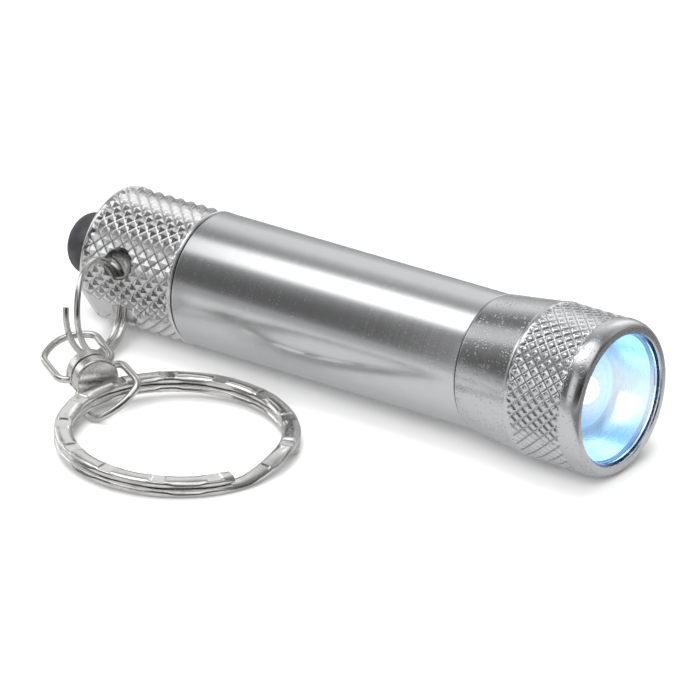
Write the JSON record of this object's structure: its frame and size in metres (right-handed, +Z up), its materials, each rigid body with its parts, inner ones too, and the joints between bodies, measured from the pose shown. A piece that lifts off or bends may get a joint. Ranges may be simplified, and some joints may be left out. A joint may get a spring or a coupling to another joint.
{
  "type": "keychain flashlight",
  "caption": "Small metal keychain flashlight with a knurled screw-on head and tail cap, a push button at the tail, a swivel and a split key ring.",
  "frame": {"origin": "middle of the bounding box, on the surface that the object lies on", "axes": "+X along the flashlight towards its head, +Z up; the key ring lies on the -Y side. The flashlight's own axis is nose up by about 1 degree, because the head is fatter than the tail cap."},
  "size_m": [0.069, 0.0418, 0.0163],
  "materials": {
    "aluminium": "bright satin anodised, with knurled and polished stretches",
    "nickel": "bright nickel plate",
    "button_rubber": "matt black",
    "seal_rubber": "matt black",
    "white_nylon": "matt",
    "sleeve_film": "satin",
    "cell_can": "bright pressed steel",
    "spring_wire": "bright drawn wire",
    "brass": "turned",
    "circuit_board": "satin",
    "led_epoxy": "clear, glowing pale blue",
    "reflector_chrome": "bright, finely turned",
    "clear_lens": "clear moulded plastic"
  },
  "bodies": {
    "torch_body": {"body_tube": "aluminium", "battery_sleeve": "sleeve_film", "cell_1": "cell_can", "cell_2": "cell_can", "cell_3": "cell_can", "cell_4": "cell_can"},
    "tail_carrier": {"rear_contact_spring": "spring_wire"},
    "tail_cap": {"tail_cap": "aluminium", "tail_o_ring": "seal_rubber", "switch_housing": "white_nylon", "switch_dome": "spring_wire", "switch_retainer_ring": "brass"},
    "button": {"button_boot": "button_rubber", "switch_plunger": "white_nylon"},
    "head_carrier": {"front_contact_spring": "spring_wire"},
    "head": {"head": "aluminium", "head_o_ring": "seal_rubber", "led_board": "circuit_board", "led_bulb": "led_epoxy", "reflector": "reflector_chrome", "lens": "clear_lens"},
    "small_ring": {"small_split_ring": "nickel"},
    "rear_bail": {"swivel_rear_bail": "nickel"},
    "rear_cup": {"swivel_rear_cup": "nickel"},
    "front_cup": {"swivel_front_cup": "nickel", "swivel_rivet": "nickel"},
    "front_bail": {"swivel_front_bail": "nickel"},
    "key_ring": {"key_ring": "nickel"}
  },
  "joints": [
    {"name": "tail_cap_travel", "type": "slide", "parent": "torch_body", "child": "tail_carrier", "axis": [-0.9998, 0, -0.0185], "range_m": [0, 0.00337]},
    {"name": "tail_cap_turn", "type": "hinge", "parent": "tail_carrier", "child": "tail_cap", "pos_m": [-0.02879, 0.01279, 0.00707], "axis": [-0.9998, 0, -0.0185], "range_deg": [0, 1620]},
    {"name": "head_travel", "type": "slide", "parent": "torch_body", "child": "head_carrier", "axis": [0.9998, 0, 0.0185], "range_m": [0, 0.00337]},
    {"name": "head_turn", "type": "hinge", "parent": "head_carrier", "child": "head", "pos_m": [0.0312, 0.01279, 0.00817], "axis": [0.9998, 0, 0.0185], "range_deg": [0, 1620]},
    {"name": "button_press", "type": "slide", "parent": "tail_cap", "child": "button", "axis": [0.9998, 0, 0.0185], "range_m": [0, 0.001], "stiffness_N_per_m": 1500, "springref_m": -0.0003},
    {"name": "small_ring_turn", "type": "hinge", "parent": "tail_cap", "child": "small_ring", "pos_m": [-0.0236, 0.00311, 0.00572], "axis": [0.9805, 0.1441, 0.1338], "range_deg": [-12, 24]},
    {"name": "rear_bail_swing", "type": "hinge", "parent": "small_ring", "child": "rear_bail", "pos_m": [-0.02331, -0.00041, 0.00351], "axis": [0.0373, 0.5317, -0.8461], "range_deg": [-5, 14]},
    {"name": "rear_cup_swing", "type": "hinge", "parent": "rear_bail", "child": "rear_cup", "pos_m": [-0.01948, -0.00421, 0.00247], "axis": [0.4743, 0.8414, 0.2588], "range_deg": [-25, 25]},
    {"name": "swivel_spin", "type": "hinge", "parent": "rear_cup", "child": "front_cup", "pos_m": [-0.01874, -0.00463, 0.00247], "axis": [0.8711, -0.4911, 0], "continuous": true},
    {"name": "front_bail_swing", "type": "hinge", "parent": "front_cup", "child": "front_bail", "pos_m": [-0.018, -0.00504, 0.00247], "axis": [0.4118, 0.7306, 0.5446], "range_deg": [-18, 6]},
    {"name": "key_ring_swing", "type": "hinge", "parent": "front_bail", "child": "key_ring", "pos_m": [-0.01583, -0.00544, 0.00145], "axis": [-0.2698, -0.9629, 0], "range_deg": [-4, 8]}
  ],
  "couplings": [
    {"joint": "tail_cap_turn", "follows": "tail_cap_travel", "rad_per_m": 8377.6},
    {"joint": "head_turn", "follows": "head_travel", "rad_per_m": 8377.6}
  ]
}
